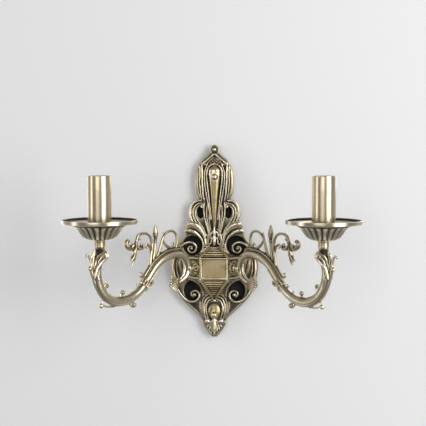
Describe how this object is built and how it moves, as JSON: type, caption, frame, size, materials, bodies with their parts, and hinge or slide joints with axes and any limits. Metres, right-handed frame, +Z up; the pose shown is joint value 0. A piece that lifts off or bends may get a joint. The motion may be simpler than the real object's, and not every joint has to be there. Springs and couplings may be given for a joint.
{
  "type": "wall lamp",
  "caption": "Cast brass wall sconce in a baroque style, with scroll arms, drip pans and bare candle sleeves on an ornate tall back plate.",
  "frame": {"origin": "on the wall, midway between the two wall screw holes and level with the middle of the centre block", "axes": "+Z up, the wall is the plane Y = 0 and the lamp stands out towards -Y, +X to the right as seen from the room"},
  "size_m": [0.3394, 0.1748, 0.2427],
  "materials": {
    "plate_brass": "antique cast, dark recesses",
    "cast_brass": "antique cast, rubbed edges",
    "pan_brass": "antique satin",
    "brushed_brass": "brushed satin",
    "polished_brass": "polished",
    "zinc_steel": "zinc plated",
    "holder_plastic": "moulded insulator",
    "white_plastic": "moulded",
    "lead_sheath": "flexible sheath",
    "earth_sheath": "flexible sheath"
  },
  "bodies": {
    "lamp": {"back_plate": "plate_brass", "centre_block": "cast_brass", "wall_strap": "zinc_steel", "strap_studs": "zinc_steel", "stud_nuts": "zinc_steel", "dome_nuts": "polished_brass", "block_screws": "zinc_steel", "arm_left": "cast_brass", "arm_right": "cast_brass", "arm_spray_left": "cast_brass", "arm_spray_right": "cast_brass", "arm_boss_left": "cast_brass", "arm_boss_right": "cast_brass", "arm_tube_left": "zinc_steel", "arm_tube_right": "zinc_steel", "arm_nut_left": "zinc_steel", "arm_nut_right": "zinc_steel", "neck_ring_left": "cast_brass", "neck_ring_right": "cast_brass", "drip_pan_left": "pan_brass", "drip_pan_right": "pan_brass", "nipple_left": "zinc_steel", "nipple_right": "zinc_steel", "pan_nut_left": "zinc_steel", "pan_nut_right": "zinc_steel", "holder_body_left": "holder_plastic", "holder_body_right": "holder_plastic", "holder_shell_left": "polished_brass", "holder_shell_right": "polished_brass", "holder_contact_left": "polished_brass", "holder_contact_right": "polished_brass", "wire_left": "lead_sheath", "wire_right": "lead_sheath", "terminal_block": "white_plastic", "terminal_screws": "zinc_steel", "earth_screw": "polished_brass", "earth_lug": "zinc_steel", "earth_lead": "earth_sheath"},
    "candle_sleeve_left": {"sleeve_left": "brushed_brass"},
    "candle_sleeve_right": {"sleeve_right": "brushed_brass"}
  },
  "joints": [
    {"name": "sleeve_left_lift", "type": "slide", "parent": "lamp", "child": "candle_sleeve_left", "axis": [0, 0, 1], "range_m": [0, 0.07]},
    {"name": "sleeve_right_lift", "type": "slide", "parent": "lamp", "child": "candle_sleeve_right", "axis": [0, 0, 1], "range_m": [0, 0.07]}
  ]
}
